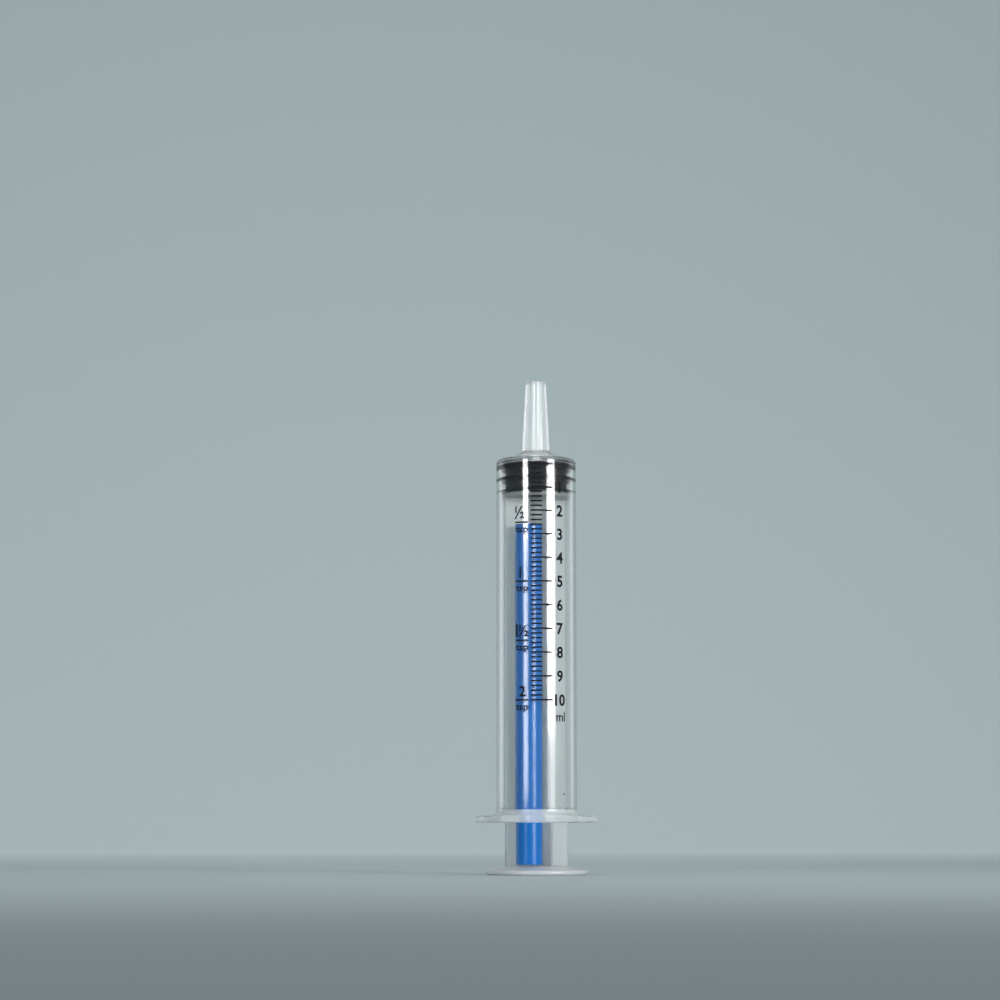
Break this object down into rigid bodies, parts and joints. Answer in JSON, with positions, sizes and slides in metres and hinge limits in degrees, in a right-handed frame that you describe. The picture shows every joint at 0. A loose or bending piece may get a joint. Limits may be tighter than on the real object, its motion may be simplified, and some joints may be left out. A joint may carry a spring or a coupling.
{
  "type": "oral syringe",
  "caption": "Oral dosing syringe: clear barrel with slip nozzle and finger flange, black rubber stopper, cross-ribbed plunger rod and a stored filler tube.",
  "frame": {"origin": "on the syringe's axis, at the flat underside of the thumb plate that it stands on", "axes": "+Z along the axis from the thumb plate to the nozzle; +X along the finger flange's long side, to the right of the printed face; the printed face looks to -Y"},
  "size_m": [0.0266, 0.0222, 0.1087],
  "materials": {
    "barrel_plastic": "clear natural polypropylene, faintly milky, glossy",
    "stopper_rubber": "black silicone-oiled rubber, satin",
    "rod_plastic": "milky natural polypropylene, glossy",
    "tube_plastic": "translucent blue polyethylene, glossy",
    "scale_ink": "screen-printed black ink"
  },
  "bodies": {
    "barrel": {"barrel": "barrel_plastic"},
    "stopper": {"stopper": "stopper_rubber"},
    "plunger": {"plunger_rod": "rod_plastic"},
    "filler_tube": {"filler_tube": "tube_plastic"}
  },
  "joints": [
    {"name": "plunger_slide", "type": "slide", "parent": "barrel", "child": "stopper", "axis": [0, 0, -1], "range_m": [0, 0.069]},
    {"name": "plunger_turn", "type": "hinge", "parent": "stopper", "child": "plunger", "pos_m": [0, 0, 0.0836], "axis": [0, 0, 1], "continuous": true},
    {"name": "tube_slide", "type": "slide", "parent": "plunger", "child": "filler_tube", "axis": [0, 0, 1], "range_m": [0, 0.006]}
  ]
}
